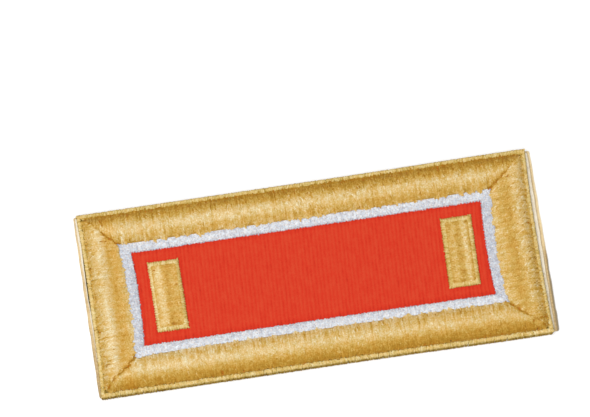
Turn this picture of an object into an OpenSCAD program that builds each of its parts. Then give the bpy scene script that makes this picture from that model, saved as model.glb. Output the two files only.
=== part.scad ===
/* [Face] */
// Length of the face over its stitched edge
face_l = 100.6; // [92:0.2:110]
// Width of the face over its stitched edge
face_w = 41.1; // [37:0.1:48]
// Thickness of the ribbed ground cloth
ground_t = 1; // [0.6:0.1:2]
// How far the face's middle lies from the backing's middle, along the board
face_shift = -0.3; // [-0.6:0.1:0.6]

/* [Backing cloth] */
// How far the backing cloth shows past each end of a centred face
backing_show_end = 1.35; // [0.6:0.05:2]
// How far the backing cloth shows past the back and front of the face
backing_show_side = 0.15; // [0.05:0.05:1]
// Thickness of the backing cloth
backing_t = 1; // [0.6:0.1:2]

/* [Stiffener] */
// How far the white stiffener shows past each end of a centred face
stiffener_show_end = 0.9; // [0.2:0.05:2]
// How far the stiffener is set back from the back and front of the face
stiffener_setback = 0.3; // [0:0.05:1]
// Thickness of the stiffener
stiffener_t = 1; // [0.5:0.1:2]
// Radius of the corners of the backing cloth and the stiffener
ply_corner_r = 0.5; // [0.2:0.1:1.5]

/* [Stitched edge] */
// Width of the flat stitched edge around the face
edge_w = 1.1; // [0.7:0.1:2]
// Height of the stitched edge
edge_h = 1.2; // [0.9:0.1:2.2]

/* [Gold border] */
// Width of the padded border along the back and front of the board
border_side_w = 6.75; // [4:0.05:8]
// Width of the padded border across the left end
border_left_w = 7.4; // [4:0.1:12]
// Width of the padded border across the right end
border_right_w = 8; // [4:0.1:12]
// Height of the border's crest above the ground cloth
border_h = 2.1; // [1:0.1:3.5]

/* [White piping] */
// Width of the white strip along the back and front
piping_side_w = 2.1; // [1:0.1:3.5]
// Width of the white strip across each end
piping_end_w = 2.3; // [1:0.1:4]
// Height of the white strip above the ground cloth
piping_h = 0.55; // [0.3:0.05:1]

/* [Rank bars] */
// Width of a bar, along the board
bar_w = 7; // [4:0.1:10]
// Length of a bar, across the board
bar_l = 15.8; // [8:0.1:18]
// Clear ground between the left bar and the white strip beside it
bar_inset_left = 3.1; // [1:0.1:10]
// Clear ground between the right bar and the white strip beside it
bar_inset_right = 2.5; // [1:0.1:10]
// How far the bars lie in front of the board's middle line
bar_forward = 0.2; // [0:0.1:0.6]
// Width of the stitched rim of a bar
bar_rim_w = 0.9; // [0.5:0.1:1.5]
// Height of the rim of a bar above the ground cloth
bar_rim_h = 0.7; // [0.4:0.05:1.2]
// Height of the pad inside the rim above the ground cloth
bar_pad_h = 0.95; // [0.6:0.05:1.6]

/* [Clearances] */
// Gap left between two pieces that lie on or beside each other
seam_gap = 0.05; // [0.02:0.01:0.1]

/* [Hidden] */
$fn = 32;

gold = "#d8ae5c";
pale_gold = "#e3c586";
white = "#f2f1f3";
red = "#dd3f27";

// Heights at which the layers start, from the back of the board upwards
stiffener_z = backing_t + seam_gap;
face_z = stiffener_z + stiffener_t + seam_gap;
raised_z = face_z + ground_t + seam_gap;

// Boxes on the face, each as [left, right, front, back]
face_box = [face_shift - face_l / 2, face_shift + face_l / 2, -face_w / 2, face_w / 2];
border_box = inset(face_box, edge_w, edge_w, edge_w);
piping_box = inset(border_box, border_left_w, border_right_w, border_side_w);
field_box = inset(piping_box, piping_end_w, piping_end_w, piping_side_w);
bar_left_x = field_box[0] + bar_inset_left + bar_w / 2;
bar_right_x = field_box[1] - bar_inset_right - bar_w / 2;
bar_y = (field_box[2] + field_box[3]) / 2 - bar_forward;

// Columns of each section table: share of the width from the outer edge inwards, share of the height.
// The long sides swell evenly, with the crest just past the middle.
side_section = [
    [0, 0.16], [0.05, 0.36], [0.14, 0.56], [0.26, 0.77], [0.39, 0.93], [0.53, 1],
    [0.66, 0.96], [0.78, 0.84], [0.88, 0.68], [0.96, 0.5], [1, 0.34]
];
// The ends crest near the outer edge, fall away and run out in a low flat shelf.
end_section = [
    [0, 0.18], [0.04, 0.42], [0.11, 0.72], [0.2, 0.93], [0.31, 1], [0.41, 0.94],
    [0.51, 0.78], [0.61, 0.6], [0.72, 0.49], [0.85, 0.45], [0.95, 0.38], [1, 0.28]
];
// The stitched edge and the white strips are low and evenly rounded.
low_section = [
    [0, 0.55], [0.12, 0.82], [0.32, 0.98], [0.5, 1], [0.68, 0.98], [0.88, 0.82], [1, 0.55]
];
// A pad has its crest left of the middle, a shallow dip and a lower swell at the right.
pad_section = [
    [0, 0.6], [0.08, 0.84], [0.18, 0.97], [0.29, 1], [0.41, 0.94], [0.52, 0.85],
    [0.63, 0.85], [0.75, 0.88], [0.87, 0.84], [1, 0.58]
];

// A box moved in by one width at the left, one at the right and one at the front and back
function inset(box, left, right, side) =
    [box[0] + left, box[1] - right, box[2] + side, box[3] - side];

// Outline of a section: the table's shares times a width and a height, closed along the bottom
function section_outline(table, w, h, way) =
    concat([[0, 0]], [for (row = table) [way * row[0] * w, row[1] * h]], [[way * w, 0]]);

// Plan of one side of a frame between two boxes, its ends cut on the corner lines
function side_plan(side, outer, inner, cut) =
    side == "back" ? [
        [outer[0] + cut, outer[3]], [outer[1] - cut, outer[3]],
        [inner[1] - cut, inner[3]], [inner[0] + cut, inner[3]]
    ] :
    side == "front" ? [
        [outer[0] + cut, outer[2]], [outer[1] - cut, outer[2]],
        [inner[1] - cut, inner[2]], [inner[0] + cut, inner[2]]
    ] :
    side == "left" ? [
        [outer[0], outer[2] + cut], [outer[0], outer[3] - cut],
        [inner[0], inner[3] - cut], [inner[0], inner[2] + cut]
    ] : [
        [outer[1], outer[2] + cut], [outer[1], outer[3] - cut],
        [inner[1], inner[3] - cut], [inner[1], inner[2] + cut]
    ];

// A flat sheet with round corners, centred on the board, that shows past the face
module sheet(show_end, show_side, t) {
    l = face_l + 2 * show_end;
    w = face_w + 2 * show_side;
    r = ply_corner_r;
    linear_extrude(height = t) {
        square([l - 2 * r, w], center = true);
        square([l, w - 2 * r], center = true);
        for (x = [-1, 1], y = [-1, 1])
            translate([x * (l / 2 - r), y * (w / 2 - r)]) circle(r = r);
    }
}

// One side of a frame: a section run along the side and mitred at both ends
module frame_side(side, outer, inner, table, h) {
    l = outer[1] - outer[0];
    w = outer[3] - outer[2];
    intersection() {
        linear_extrude(height = h + 1) polygon(side_plan(side, outer, inner, seam_gap));
        if (side == "back")
            translate([outer[0], outer[3], 0]) rotate([90, 0, 90]) linear_extrude(height = l)
                polygon(section_outline(table, outer[3] - inner[3], h, -1));
        if (side == "front")
            translate([outer[0], outer[2], 0]) rotate([90, 0, 90]) linear_extrude(height = l)
                polygon(section_outline(table, inner[2] - outer[2], h, 1));
        if (side == "left")
            translate([outer[0], outer[3], 0]) rotate([90, 0, 0]) linear_extrude(height = w)
                polygon(section_outline(table, inner[0] - outer[0], h, 1));
        if (side == "right")
            translate([outer[1], outer[3], 0]) rotate([90, 0, 0]) linear_extrude(height = w)
                polygon(section_outline(table, outer[1] - inner[1], h, -1));
    }
}

module backing() {
    color(pale_gold) sheet(backing_show_end, backing_show_side, backing_t);
}

module stiffener() {
    color(white) translate([0, 0, stiffener_z])
        sheet(stiffener_show_end, -stiffener_setback, stiffener_t);
}

module ground() {
    box = inset(border_box, seam_gap, seam_gap, seam_gap);
    color(red) translate([box[0], box[2], face_z])
        cube([box[1] - box[0], box[3] - box[2], ground_t]);
}

module edge(side) {
    color(pale_gold) translate([0, 0, face_z])
        frame_side(side, face_box, border_box, low_section, edge_h);
}

module border(side) {
    table = side == "back" || side == "front" ? side_section : end_section;
    outer = inset(border_box, seam_gap, seam_gap, seam_gap);
    color(gold) translate([0, 0, raised_z])
        frame_side(side, outer, piping_box, table, border_h - seam_gap);
}

module piping(side) {
    outer = inset(piping_box, seam_gap, seam_gap, seam_gap);
    color(white) translate([0, 0, raised_z])
        frame_side(side, outer, field_box, low_section, piping_h - seam_gap);
}

module bar_rim(x) {
    color(pale_gold) translate([x, bar_y, raised_z]) linear_extrude(height = bar_rim_h - seam_gap)
        difference() {
            square([bar_w, bar_l], center = true);
            square([bar_w - 2 * bar_rim_w, bar_l - 2 * bar_rim_w], center = true);
        }
}

module bar_pad(x) {
    w = bar_w - 2 * bar_rim_w - 2 * seam_gap;
    l = bar_l - 2 * bar_rim_w - 2 * seam_gap;
    color(gold) translate([x - w / 2, bar_y + l / 2, raised_z]) rotate([90, 0, 0])
        linear_extrude(height = l)
            polygon(section_outline(pad_section, w, bar_pad_h - seam_gap, 1));
}

backing();
stiffener();
ground();
edge("back");  // edge_back
edge("front");  // edge_front
edge("left");  // edge_left
edge("right");  // edge_right
border("back");  // border_back
border("front");  // border_front
border("left");  // border_left
border("right");  // border_right
piping("back");  // piping_back
piping("front");  // piping_front
piping("left");  // piping_left
piping("right");  // piping_right
bar_rim(bar_left_x);  // bar_left_rim
bar_pad(bar_left_x);  // bar_left_pad
bar_rim(bar_right_x);  // bar_right_rim
bar_pad(bar_right_x);  // bar_right_pad
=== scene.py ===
import bpy
import numpy as np
from mathutils import Matrix, Vector


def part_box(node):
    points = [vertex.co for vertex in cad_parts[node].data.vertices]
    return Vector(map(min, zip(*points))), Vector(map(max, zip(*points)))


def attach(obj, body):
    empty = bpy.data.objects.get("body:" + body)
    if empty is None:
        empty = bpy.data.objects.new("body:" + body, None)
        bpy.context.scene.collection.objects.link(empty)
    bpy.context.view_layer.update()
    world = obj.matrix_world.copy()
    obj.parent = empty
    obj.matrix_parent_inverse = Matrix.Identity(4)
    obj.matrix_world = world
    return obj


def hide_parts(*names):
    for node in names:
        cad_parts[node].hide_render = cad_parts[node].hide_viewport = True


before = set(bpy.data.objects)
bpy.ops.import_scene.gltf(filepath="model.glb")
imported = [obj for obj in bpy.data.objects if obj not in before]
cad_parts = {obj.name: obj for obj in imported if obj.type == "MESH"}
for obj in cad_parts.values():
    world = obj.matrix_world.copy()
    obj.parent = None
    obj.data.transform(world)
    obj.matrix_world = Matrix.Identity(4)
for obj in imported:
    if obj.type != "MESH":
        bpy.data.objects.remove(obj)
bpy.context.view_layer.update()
print("stage: frame loaded,", len(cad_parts), "nodes")

# Plan work below is in millimetres, in the board's own frame. Meshes go out in metres.
mm = 0.001
sideNames = ("back", "front", "left", "right")
limitOf = {"left": (0, 0), "right": (1, 0), "front": (0, 1), "back": (1, 1)}  # low or high corner, axis


# The board's boxes, read from the frame
def boxOf(node):
    low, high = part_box(node)
    return np.array(low) / mm, np.array(high) / mm


def footAndHeight(node):
    low, high = boxOf(node)
    return low[2], high[2] - low[2]


def ringBox(prefix, inside=False):
    # the outer or the inner limits of a ring of four pieces
    return {side: boxOf(prefix + "_" + side)[high != inside][axis] for side, (high, axis) in limitOf.items()}


# Where the stitches run past or stop short of their solids, mm to the right and to the back
sewnShift = {
    "face": {"left": -0.05, "right": 0.18, "front": -0.16, "back": -0.05},
    "border": {"left": -0.2, "right": 0.4, "front": -0.35, "back": 0.05},
    "piping": {"left": -0.04, "right": 0.17, "front": -0.14, "back": -0.1},
    "field": {"left": 0.02, "right": 0.2, "front": -0.1, "back": -0.13},
}


def sewn(box, name):
    return {side: value + sewnShift[name][side] for side, value in box.items()}


def insetBox(box, width):
    return {side: value + width * (1 if side in ("left", "front") else -1) for side, value in box.items()}


faceBox = ringBox("edge")
fieldBox = ringBox("piping", inside=True)
sewnFace = sewn(faceBox, "face")
sewnBorder = sewn(ringBox("border"), "border")
sewnPiping = sewn(ringBox("piping"), "piping")
sewnField = sewn(fieldBox, "field")


# Small helpers for shapes
def unit(v):
    return v / np.maximum(np.linalg.norm(v, axis=-1, keepdims=True), 1e-9)


def smoothStep(x):
    x = np.clip(x, 0, 1)
    return x * x * (3 - 2 * x)


def throughTable(table, at, soften=0.03):
    # a smooth curve through the rows of a section table
    table = np.array(table)
    step, reach = 0.0025, 40
    fine = np.linspace(-0.2, 1.2, 561)
    flat = np.interp(fine, table[:, 0], table[:, 1])
    bell = np.exp(-0.5 * (np.arange(-reach, reach + 1) * step / soften) ** 2)
    soft = np.convolve(np.pad(flat, reach, mode="edge"), bell / bell.sum(), mode="valid")
    return np.interp(at, fine, soft)


def wander(rng, at, reach, amount):
    # a slow random wave along a side: a few sines about `reach` long
    total = np.zeros_like(at)
    for stretch in (0.55, 0.9, 1.4, 2.3):
        total = total + np.sin(2 * np.pi * at / (reach * stretch) + rng.uniform(0, 6.28)) * stretch
    return amount * total / 3


def easedTurn(rings):
    # shares of a stitch's way across, closer together at both ends
    return (1 - np.cos(np.linspace(0, np.pi, rings))) / 2


def crossing(first, last, turn):
    # how far in each ring of a stitch lies, and how far from that stitch's middle
    inset = first[:, None] + (last - first)[:, None] * turn
    return inset, inset - (first + last)[:, None] / 2


def gridAt(x, y, height):
    # a grid of points over plan places, at one height or at many
    return np.stack([x, y, np.broadcast_to(height, x.shape)], -1)


def fadeOut(distance, reach):
    return np.exp(-((distance / reach) ** 2))


def beyond(x, y, left, right, front, back):
    # how far a plan point lies outside a box, less than 0 inside it
    return np.maximum.reduce([left - x, x - right, front - y, y - back])


# What the sewing has done to the face: it isn't a perfect rectangle
faceMake = {
    "bowOut": 0.42,  # how far the ends' corners stand out, mm
    "bowIn": 0.14,  # how far the ends' middles are drawn in
    "bowDepth": 10.8,  # how far in from the ends the bow keeps its shape
    "bowFade": (11.2, 5.0),  # where it starts to fade, and over how much
    "widen": 0.012,  # share by which the right end is wider
    "widenFrom": (5.0, 40.0),  # where that starts, right of the middle, and over how much
    "barLean": 0.015,  # how much the bars lean outwards at the back
}


def drawnFace(points):
    # moves plan points of the face as the stitching has drawn them
    make = faceMake
    x, y = points[..., 0], points[..., 1]
    start, over = make["bowFade"]
    for end, way in (("left", -1), ("right", 1)):
        depth = way * (faceBox[end] - x)
        inset = np.clip(depth, 0, make["bowDepth"])
        half = faceBox["back"] - inset * (faceBox["back"] - fieldBox["back"]) / make["bowDepth"]
        share = np.clip(np.abs(y) / half, 0, 1)
        fade = 1 - smoothStep((depth - start) / over)
        x = x + way * fade * (make["bowOut"] * share**2.5 - make["bowIn"])
    start, over = make["widenFrom"]
    wide = 1 + make["widen"] * smoothStep((points[..., 0] - start) / over)
    return np.stack([x, y * wide, points[..., 2]], -1)


# A piece in the making: its points, faces and the values that its material reads
def newPiece():
    return {"points": [], "faces": [], "tone": [], "place": [], "count": 0}


def addPoints(piece, points, tone, place):
    start = piece["count"]
    flat = points.reshape(-1, 3)
    piece["points"].append(flat)
    piece["tone"].append(np.broadcast_to(tone, points.shape[:-1]).reshape(-1))
    piece["place"].append(place.reshape(-1, 3))
    piece["count"] = start + len(flat)
    return start


ringSides = 6
threadCrease = np.radians(60)  # a flat thread keeps its two sharp edges
footSlack = 0.02  # how far a thread may reach below its piece's foot, mm


def layThreads(piece, path, across, halfWidth, halfHeight, tone, rng):
    # path: threads x rings x 3. Each thread is a closed flattened tube.
    threads, rings = path.shape[:2]
    run = unit(np.gradient(path, axis=1))
    side = unit(across - (across * run).sum(-1, keepdims=True) * run)
    lift = np.cross(run, side)
    flip = np.where(lift[..., 2].sum(axis=1) < 0, -1.0, 1.0)[:, None, None]
    side, lift = side * flip, lift * flip
    turn = np.arange(ringSides) * 2 * np.pi / ringSides
    wide = np.broadcast_to(halfWidth, (threads, rings))[..., None, None]
    high = np.broadcast_to(halfHeight, (threads, rings))[..., None, None]
    points = path[:, :, None] + side[:, :, None] * np.cos(turn)[:, None] * wide
    points = points + lift[:, :, None] * np.sin(turn)[:, None] * high
    steps = np.linalg.norm(np.diff(path, axis=1), axis=-1)
    place = np.zeros(points.shape)
    place[:, 1:, :, 0] = np.cumsum(steps, axis=1)[..., None]
    place[..., 1] = np.cos(turn)
    place[..., 2] = rng.uniform(0, 50, threads)[:, None, None]
    start = addPoints(piece, points, np.asarray(tone)[..., None], place)
    index = start + np.arange(points[..., 0].size).reshape(threads, rings, ringSides)
    nextSide = np.roll(index, -1, axis=2)
    wall = np.stack([index[:, :-1], nextSide[:, :-1], nextSide[:, 1:], index[:, 1:]], -1)
    first, last = index[:, 0], index[:, -1]
    caps = [first[:, [3, 2, 1, 0]], first[:, [5, 4, 3, 0]], last[:, [0, 1, 2, 3]], last[:, [0, 3, 4, 5]]]
    piece["faces"] += [wall.reshape(-1, 4)] + caps


def layBlock(piece, top, bottom, tone, bulge=0.0):
    # a closed block between two grids of points, with a middle line round its edge
    rows, columns = top.shape[:2]
    size = rows * columns
    start = addPoints(piece, top, tone, top)
    addPoints(piece, bottom, tone, bottom)
    grid = np.arange(size).reshape(rows, columns)
    quads = np.stack([grid[:-1, :-1], grid[1:, :-1], grid[1:, 1:], grid[:-1, 1:]], -1).reshape(-1, 4)
    rim = np.concatenate([grid[0, :-1], grid[:-1, -1], grid[-1, :0:-1], grid[:0:-1, 0]])
    middle = (top.reshape(-1, 3)[rim] + bottom.reshape(-1, 3)[rim]) / 2
    plan = middle - middle.mean(axis=0)
    outward = np.cross(np.roll(plan, -1, axis=0) - np.roll(plan, 1, axis=0), [0, 0, 1.0])
    outward = outward * np.sign((outward * plan).sum())
    middle = middle + unit(outward) * bulge
    toneRim = np.broadcast_to(tone, top.shape[:-1]).reshape(-1)[rim]
    ring = addPoints(piece, middle, toneRim, middle) + np.arange(len(rim))
    nextRing, nextRim = np.roll(ring, -1), np.roll(rim, -1)
    faces = [
        start + quads,
        start + size + quads[:, ::-1],
        np.stack([start + rim, start + nextRim, nextRing, ring], -1),
        np.stack([ring, nextRing, start + size + nextRim, start + size + rim], -1),
    ]
    turned = np.cross(top[1, 0] - top[0, 0], top[0, 1] - top[0, 0])[2] > 0
    piece["faces"] += faces if turned else [f[:, ::-1] for f in faces]


def addObject(name, data):
    obj = bpy.data.objects.new(name, data)
    bpy.context.scene.collection.objects.link(obj)
    return obj


def finishPiece(name, piece, node, material):
    points = np.concatenate(piece["points"]) * mm
    faces = np.concatenate(piece["faces"])
    mesh = bpy.data.meshes.new(name)
    mesh.vertices.add(len(points))
    mesh.vertices.foreach_set("co", points.astype(np.float32).ravel())
    mesh.loops.add(faces.size)
    mesh.loops.foreach_set("vertex_index", faces.astype(np.int32).ravel())
    mesh.polygons.add(len(faces))
    mesh.polygons.foreach_set("loop_start", np.arange(0, faces.size, 4, dtype=np.int32))
    for key, kind, field in (("tone", "FLOAT", "value"), ("place", "FLOAT_VECTOR", "vector")):
        values = np.concatenate(piece[key]).astype(np.float32).ravel()
        mesh.attributes.new(key, kind, "POINT").data.foreach_set(field, values)
    mesh.update(calc_edges=True)
    mesh.validate()
    mesh.shade_smooth()
    mesh.set_sharp_from_angle(angle=threadCrease)
    obj = addObject(name, mesh)
    mesh.materials.append(material)
    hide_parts(node)
    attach(obj, "root")
    print("stage:", name, "made of", 2 * len(faces), "triangles")
    return obj


# Materials: small helpers for their nodes
def startMaterial(name):
    # a new material, its nodes, its shader and the place on the board
    material = bpy.data.materials.new(name)
    material.use_nodes = True
    tree = material.node_tree
    where = tree.nodes.new("ShaderNodeTexCoord").outputs["Object"]
    return material, tree, tree.nodes["Principled BSDF"], where


def fillInputs(tree, node, inputs):
    for key, value in inputs.items():
        if isinstance(value, bpy.types.NodeSocket):
            tree.links.new(value, node.inputs[key])
        else:
            node.inputs[key].default_value = value


def addNode(tree, kind, inputs=None, **settings):
    node = tree.nodes.new(kind)
    for key, value in settings.items():
        setattr(node, key, value)
    fillInputs(tree, node, inputs or {})
    return node.outputs


def reckon(tree, how, *values):
    return addNode(tree, "ShaderNodeMath", dict(enumerate(values)), operation=how)[0]


def addedUp(tree, value, *parts):
    # a value and a share of each of some noises
    for noise, share in parts:
        value = reckon(tree, "MULTIPLY_ADD", noise, share, value)
    return value


def attributeOf(tree, name, output):
    return addNode(tree, "ShaderNodeAttribute", attribute_name=name)[output]


def noiseOf(tree, vector, scale, detail=2.0, roughness=0.5):
    inputs = {"Vector": vector, "Scale": scale, "Detail": detail, "Roughness": roughness}
    return addNode(tree, "ShaderNodeTexNoise", inputs)["Fac"]


def rampOf(tree, value, stops):
    ramp = tree.nodes.new("ShaderNodeValToRGB")
    tree.links.new(value, ramp.inputs["Fac"])
    elements = ramp.color_ramp.elements
    while len(elements) < len(stops):
        elements.new(0.5)
    for element, (place, colour) in zip(elements, stops):
        element.position = place
        element.color = (*colour, 1.0)
    return ramp.outputs["Color"]


def stretched(tree, vector, factors):
    return addNode(tree, "ShaderNodeVectorMath", {0: vector, 1: factors}, operation="MULTIPLY")[0]


def tinted(tree, colour, tint):
    inputs = {0: 1.0, 6: colour, 7: tint}
    return addNode(tree, "ShaderNodeMix", inputs, data_type="RGBA", blend_type="MULTIPLY")[2]


def bumpOf(tree, height, distance=mm):
    inputs = {"Height": height, "Strength": 1.0, "Distance": distance}
    return addNode(tree, "ShaderNodeBump", inputs)["Normal"]


def threadMaterial(name, look):
    # sewing thread: colour by tone, mottled and grainy, with fibres along each thread
    material, tree, shader, where = startMaterial(name)
    place = attributeOf(tree, "place", "Vector")
    fibre = noiseOf(tree, stretched(tree, place, look["fibreStretch"]), 1.0, 3.0, 0.65)
    parts = [
        (noiseOf(tree, where, look["mottlePerMm"] / mm, 3.0, 0.6), look["mottle"]),
        (fibre, look["fibre"]),
        (noiseOf(tree, where, look["grainPerMm"] / mm, 2.0, 0.6), look["grain"]),
    ]
    value = addedUp(tree, attributeOf(tree, "tone", "Fac"), *parts)
    value = reckon(tree, "SUBTRACT", value, sum(share for noise, share in parts) / 2)
    darkest, lightest = look["stops"][0][0], look["stops"][-1][0]
    spread = lightest - darkest
    value = reckon(tree, "MULTIPLY_ADD", value, 1 / spread, -darkest / spread)
    stops = [((stop - darkest) / spread, colour) for stop, colour in look["stops"]]
    colour = rampOf(tree, value, stops)
    colour = tinted(tree, colour, rampOf(tree, noiseOf(tree, where, look["tintPerMm"] / mm), look["tint"]))
    middle, reach = look["troughAt"]
    along = addNode(tree, "ShaderNodeSeparateXYZ", {"Vector": where})["X"]
    away = reckon(tree, "ABSOLUTE", reckon(tree, "MULTIPLY_ADD", along, 1 / (reach * mm), -middle / reach))
    colour = tinted(tree, colour, rampOf(tree, away, [(0.35, look["trough"]), (1.0, (1.0, 1.0, 1.0))]))
    apart = addNode(tree, "ShaderNodeSeparateXYZ", {"Vector": place})
    twist = reckon(tree, "MULTIPLY", apart["X"], 2 * np.pi / look["twistPitch"])
    twist = reckon(tree, "SINE", reckon(tree, "MULTIPLY_ADD", apart["Y"], look["twistTurn"], twist))
    lumps = reckon(tree, "MULTIPLY", noiseOf(tree, where, look["lumpsPerMm"] / mm, 2.0, 0.6), look["lumps"])
    relief = addedUp(tree, lumps, (fibre, look["fibreRelief"]), (twist, look["twist"]))
    rough = reckon(tree, "MULTIPLY_ADD", fibre, look["roughSpread"], look["rough"] - look["roughSpread"] / 2)
    fillInputs(tree, shader, {
        "Base Color": colour,
        "Roughness": rough,
        "Specular IOR Level": look["gloss"],
        "IOR": look["ior"],
        "Normal": bumpOf(tree, relief),
    })
    return material


goldLook = {
    # tone, colour: reddish brown in the seams, olive gold, and pale gold for the painted highlight on the
    # crests
    "stops": [
        (-1.1, (0.05, 0.04, 0.012)),
        (-0.5, (0.50, 0.15, 0.012)),
        (-0.1, (0.37, 0.145, 0.012)),
        (0.1, (0.33, 0.162, 0.015)),
        (0.35, (0.46, 0.252, 0.036)),
        (0.55, (0.575, 0.365, 0.092)),
        (0.75, (0.668, 0.499, 0.248)),
        (1.0, (0.8, 0.712, 0.49)),
    ],
    "tint": [(0.36, (1.0, 0.95, 0.84)), (0.64, (0.97, 1.0, 1.0))],
    "tintPerMm": 0.7,
    "trough": (1.0, 0.93, 0.78),  # warmer thread in the left border's trough
    "troughAt": (-44.2, 1.9),  # its middle and reach along the board, mm
    "mottlePerMm": 1.1,
    "mottle": 0.52,
    "grainPerMm": 3.4,
    "grain": 0.75,
    "fibreStretch": (1.1, 2.0, 1.0),
    "fibre": 0.26,
    "rough": 0.38,
    "roughSpread": 0.16,
    "gloss": 0.13,
    "ior": 1.45,
    "twistPitch": 0.55,
    "twistTurn": 2.0,
    "twist": 0.01,
    "fibreRelief": 0.04,
    "lumpsPerMm": 2.6,
    "lumps": 0.065,
}
padLook = {**goldLook, "trough": (1.0, 0.95, 0.84), "troughAt": (-33.0, 60.0)}  # warmer in the left bar
paleGoldLook = {
    **goldLook,
    "stops": [
        (-0.3, (0.20, 0.10, 0.010)),
        (0.0, (0.29, 0.17, 0.020)),
        (0.25, (0.43, 0.28, 0.055)),
        (0.5, (0.61, 0.44, 0.155)),
        (0.75, (0.73, 0.58, 0.305)),
        (1.0, (0.83, 0.71, 0.42)),
    ],
    "trough": (1.0, 1.0, 1.0),  # no warmer anywhere
    "gloss": 0.05,
    "ior": 1.05,
}
whiteLook = {
    **goldLook,
    "stops": [
        (-0.2, (0.25, 0.26, 0.33)),
        (0.3, (0.47, 0.475, 0.53)),
        (0.6, (0.66, 0.665, 0.70)),
        (1.0, (0.86, 0.86, 0.87)),
    ],
    "tint": [(0.38, (1.0, 0.945, 0.885)), (0.62, (0.895, 0.965, 1.0))],
    "tintPerMm": 2.2,
    "trough": (1.0, 1.0, 1.0),
    "mottle": 0.95,
    "grain": 1.2,
    "rough": 0.65,
    "gloss": 0.2,
}
goldThread = threadMaterial("gold_satin_thread", goldLook)
padThread = threadMaterial("warm_gold_satin_thread", padLook)
paleGoldThread = threadMaterial("pale_gold_overcast_thread", paleGoldLook)
whiteThread = threadMaterial("white_cotton_thread", whiteLook)


ribLook = {
    "pitch": 0.866,  # distance between two ribs, mm
    "lean": 0.035,  # how far the ribs lean to the right at the back
    "relief": 0.09,  # height of a rib
    "field": (0.585, 0.0515, 0.018),
    "deep": (0.565, 0.028, 0.009),  # near the white strips and the bars
    "valley": (0.40, 0.018, 0.0055),
    "mottlePerMm": 0.8,
    "mottle": 0.6,
    "streakPerMm": (1.1, 0.3, 1.0),
    "streak": 0.7,
    "speckPerMm": 3.2,
    "speck": 0.5,
    "darker": 0.93,  # takes the three noises' mean away again
    "weftPerMm": 0.55,
    "weft": 0.02,  # height of the weft's waves
    "uneven": 0.06,
}


def groundMaterial():
    material, tree, shader, where = startMaterial("red_ribbed_cloth")
    look = ribLook
    mottle = noiseOf(tree, where, look["mottlePerMm"] / mm, 3.0, 0.7)
    scales = [scale / mm for scale in look["streakPerMm"]]
    streak = noiseOf(tree, stretched(tree, where, scales), 1.0, 2.0, 0.7)
    speck = noiseOf(tree, where, look["speckPerMm"] / mm, 2.0, 0.6)
    parts = (mottle, look["mottle"]), (streak, look["streak"]), (speck, look["speck"])
    value = addedUp(tree, attributeOf(tree, "tone", "Fac"), *parts)
    value = reckon(tree, "SUBTRACT", value, look["darker"])
    weave = {"Vector": where, "Scale": look["weftPerMm"] / mm, "Distortion": 1.5}
    weft = addNode(tree, "ShaderNodeTexWave", weave, bands_direction="Y")["Fac"]
    relief = addedUp(tree, reckon(tree, "MULTIPLY", mottle, look["uneven"]), (weft, look["weft"]))
    stops = [(0.0, look["valley"]), (0.5, look["deep"]), (1.0, look["field"])]
    fillInputs(tree, shader, {
        "Base Color": rampOf(tree, value, stops),
        "Roughness": 0.8,
        "Specular IOR Level": 0.15,
        "Normal": bumpOf(tree, relief),
    })
    return material


clothLook = {
    "fuzzPerMm": 2.2,
    "fuzz": 0.7,
    "cloudPerMm": 0.25,
    "cloud": 0.6,
    "darker": 0.65,  # takes the two noises' mean away again
    "relief": 0.12,
    "shadesAt": (0.0, 0.15, 0.45, 0.8),  # from the deepest shade to the lightest
    "stiffener": [(0.07, 0.05, 0.02), (0.5, 0.42, 0.29), (0.75, 0.67, 0.52), (0.88, 0.82, 0.69)],
    "backing": [(0.27, 0.21, 0.12), (0.36, 0.24, 0.10), (0.63, 0.47, 0.25), (0.80, 0.65, 0.38)],
}


def clothMaterial(name, sheet):
    # matte felted or woven sheet that shows at the ends and on the back
    material, tree, shader, where = startMaterial(name)
    look = clothLook
    fuzz = noiseOf(tree, where, look["fuzzPerMm"] / mm, 5.0, 0.75)
    cloud = noiseOf(tree, where, look["cloudPerMm"] / mm, 3.0, 0.6)
    value = addedUp(tree, attributeOf(tree, "tone", "Fac"), (fuzz, look["fuzz"]), (cloud, look["cloud"]))
    value = reckon(tree, "SUBTRACT", value, look["darker"])
    fillInputs(tree, shader, {
        "Base Color": rampOf(tree, value, list(zip(look["shadesAt"], look[sheet]))),
        "Roughness": 0.9,
        "Specular IOR Level": 0.2,
        "Sheen Weight": 0.25,
        "Normal": bumpOf(tree, fuzz, look["relief"] * mm),
    })
    return material


groundCloth = groundMaterial()
stiffenerCloth = clothMaterial("white_stiffener_cloth", "stiffener")
backingCloth = clothMaterial("gold_backing_felt", "backing")
print("stage: materials made")


# Frames of four sides: the corners at a side's two ends, and which way lies in
sideLie = {
    "back": ("leftBack", "rightBack", (0, -1, 0)),
    "front": ("leftFront", "rightFront", (0, 1, 0)),
    "left": ("leftFront", "leftBack", (1, 0, 0)),
    "right": ("rightFront", "rightBack", (-1, 0, 0)),
}


def sideOf(name, outer, inner):
    *corners, inward = sideLie[name]
    lengthwise = name in ("back", "front")
    first, last = ("left", "right") if lengthwise else ("front", "back")
    startX = outer["right" if name == "right" else "left"]
    startY = outer["back" if name == "back" else "front"]
    return {
        "lengthwise": lengthwise,
        "start": np.array([startX, startY, 0.0]),
        "along": np.array((1, 0, 0) if lengthwise else (0, 1, 0), float),
        "inward": np.array(inward, float),
        "length": outer[last] - outer[first],
        "width": abs(outer[name] - inner[name]),
        "mitres": (inner[first] - outer[first], outer[last] - inner[last]),
        "corners": corners,
    }


def onSide(side, at, inset, height):
    plan = side["start"] + side["along"] * at[..., None] + side["inward"] * inset[..., None]
    plan[..., 2] = height
    return plan


def sideEnds(side, at):
    # the distance from each end of a side, with the mitre and the corner there
    return zip((at, side["length"] - at), side["mitres"], side["corners"])


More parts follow.
